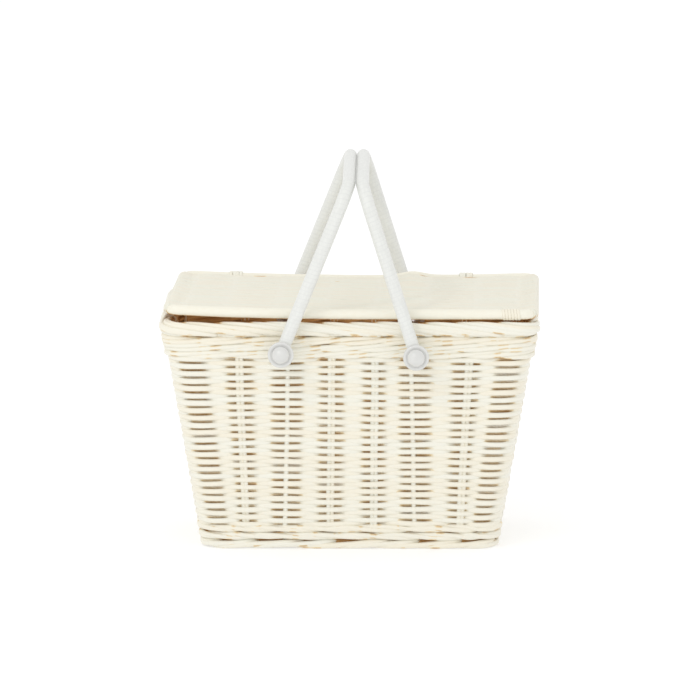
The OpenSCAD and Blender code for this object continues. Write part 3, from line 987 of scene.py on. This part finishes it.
def turned(name, profile, origin, side_y, node, segments=72):
    """A lathe-turned plastic piece.

    profile is radius and distance out from the origin along side_y, in millimetres.
    """
    turn = np.linspace(0, 2 * np.pi, segments, endpoint=False)
    points = []
    for radius, out in np.array(profile) * MM:
        x = origin[0] + radius * np.cos(turn)
        z = origin[2] + radius * np.sin(turn)
        points.append(np.stack([x, 0 * turn + origin[1] + side_y * out, z], axis=1))
    faces = []
    spot = np.arange(segments)
    for k in range(len(profile) - 1):
        a, b = k * segments + spot, k * segments + (spot + 1) % segments
        c, d = b + segments, a + segments
        faces += np.stack([a, d, c, b] if side_y < 0 else [a, b, c, d], axis=1).tolist()
    last = (len(profile) - 1) * segments + spot
    faces.append(last.tolist() if side_y < 0 else last[::-1].tolist())
    mesh = bpy.data.meshes.new(name)
    mesh.from_pydata(np.concatenate(points).tolist(), [], faces)
    mesh.polygons.foreach_set("use_smooth", [True] * len(mesh.polygons))
    return finish_piece(name, mesh, knob_white, "basket", [node])


def pivots():
    for place in ("front_left", "front_right", "back_left", "back_right"):
        side_y = -1 if place.startswith("front") else 1
        lo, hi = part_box(place + "_flange_washer")
        origin = ((lo.x + hi.x) / 2, hi.y if side_y < 0 else lo.y, (lo.z + hi.z) / 2)
        flange_r = (hi.x - lo.x) / 2 / MM
        edge = np.radians(np.linspace(-60, 90, 9))
        flange = [(3.3, 0), (flange_r - 0.6, 0)]
        flange += [(flange_r - 1.5 + 1.5 * math.cos(a), 1.5 + 1.5 * math.sin(a)) for a in edge]
        flange += [(10.7, 2.9), (10.1, 2.75), (9.6, 2.5), (9.2, 2.4), (3.3, 2.4)]
        turned(place + "_flange", flange, origin, side_y, place + "_flange_washer")
        cap_lo, cap_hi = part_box(place + "_cap_nut")
        cap_r = (cap_hi.x - cap_lo.x) / 2 / MM - 0.4
        rise = (cap_hi.y - cap_lo.y) / MM - 0.3
        dome = [(cap_r - 0.5, 2.4), (cap_r, 2.7), (cap_r, 3.1)]
        arc = np.radians(np.linspace(6, 89.9, 18))
        dome += [(cap_r * math.cos(a), 3.1 + rise * math.sin(a)) for a in arc]
        turned(place + "_dome", dome, origin, side_y, place + "_cap_nut")
        keep(place + "_bolt", steel)
        keep(place + "_inner_washer", steel)
        keep(place + "_spacer", spacer_white)


def keep(node, material):
    """A CAD piece that stays as it is, with a finished material."""
    piece = frame["nodes"][node]
    piece.data.materials.clear()
    piece.data.materials.append(material)


# ---------------------------------------------------------------- camera, floor and light

WHITE = (1, 1, 1, 1)
FLOOR_GLOW = 0.45
MIDDLE = Vector((0, 0, 0.2))


def camera():
    """Far away, a little above, and nearly straight on."""
    target = Vector((-0.0002, 0, 0.1902))
    distance = 5.0
    elevation = math.radians(9.64)
    yaw = math.radians(0.44)
    level = math.cos(elevation)
    back = Vector((math.sin(yaw) * level, -math.cos(yaw) * level, math.sin(elevation)))
    data = bpy.data.cameras.new("camera")
    data.sensor_width = 36
    data.lens = 251.3
    data.clip_end = 50
    made = bpy.data.objects.new("camera", data)
    made.rotation_mode = "QUATERNION"
    made.location = target + back * distance
    made.rotation_quaternion = (-back).to_track_quat("-Z", "Y")
    bpy.context.scene.collection.objects.link(made)
    bpy.context.scene.camera = made


def floor():
    """A pale floor that glows a little, so that the basket's shadow stays faint."""
    half = 6.0
    mesh = bpy.data.meshes.new("floor")
    corners = [(-half, -half, 0), (half, -half, 0), (half, half, 0), (-half, half, 0)]
    mesh.from_pydata(corners, [], [(0, 1, 2, 3)])
    made = bpy.data.objects.new("floor", mesh)
    s = Surface("floor_white", 0.9, 0.0)
    s.shader.inputs["Base Color"].default_value = (0.6, 0.6, 0.6, 1)
    s.shader.inputs["Emission Color"].default_value = WHITE
    s.shader.inputs["Emission Strength"].default_value = FLOOR_GLOW
    mesh.materials.append(s.material)
    bpy.context.scene.collection.objects.link(made)


def soft_light(name, place, size, power):
    """A round lamp that points at the middle of the basket."""
    data = bpy.data.lights.new(name, "AREA")
    data.shape = "DISK"
    data.size = size
    data.energy = power
    made = bpy.data.objects.new(name, data)
    made.location = place
    made.rotation_mode = "QUATERNION"
    made.rotation_quaternion = (MIDDLE - Vector(place)).to_track_quat("-Z", "Y")
    bpy.context.scene.collection.objects.link(made)


def inner_light(place, radius, power):
    """A small lamp in the basket, so that the bare willow inside reads brown through the weave."""
    data = bpy.data.lights.new("inner_light", "POINT")
    data.shadow_soft_size = radius
    data.energy = power
    made = bpy.data.objects.new("inner_light", data)
    made.location = place
    made.visible_camera = False
    bpy.context.scene.collection.objects.link(made)


def studio():
    """An even white sky, a broad key lamp, a small one for the knobs' highlights, and the inner one."""
    world = bpy.data.worlds.new("studio")
    world.use_nodes = True
    sky = world.node_tree.nodes["Background"]
    sky.inputs["Color"].default_value = WHITE
    sky.inputs["Strength"].default_value = 1.0
    bpy.context.scene.world = world
    bpy.context.scene.view_settings.view_transform = "Standard"
    soft_light("key", (-0.9, -2.2, 1.6), size=1.4, power=5)
    soft_light("glint", (-0.82, -1.32, 1.56), size=0.14, power=2)
    inner_light((0, 0, 0.13), radius=0.05, power=0.25)


camera()
stakes("front_stakes", "front_stake_rods")
stakes("back_stakes", "back_stake_rods")
stakes("left_stakes", "left_stake_rods")
stakes("right_stakes", "right_stake_rods")
stakes("corner_posts", "corner_post_rods")
side_weave()
wales()
borders()
base()
lid_frame()
lid_weave()
lid_loops()
handles()
pivots()
keep("left_handle_core", rod_white)
keep("right_handle_core", rod_white)
floor()
studio()
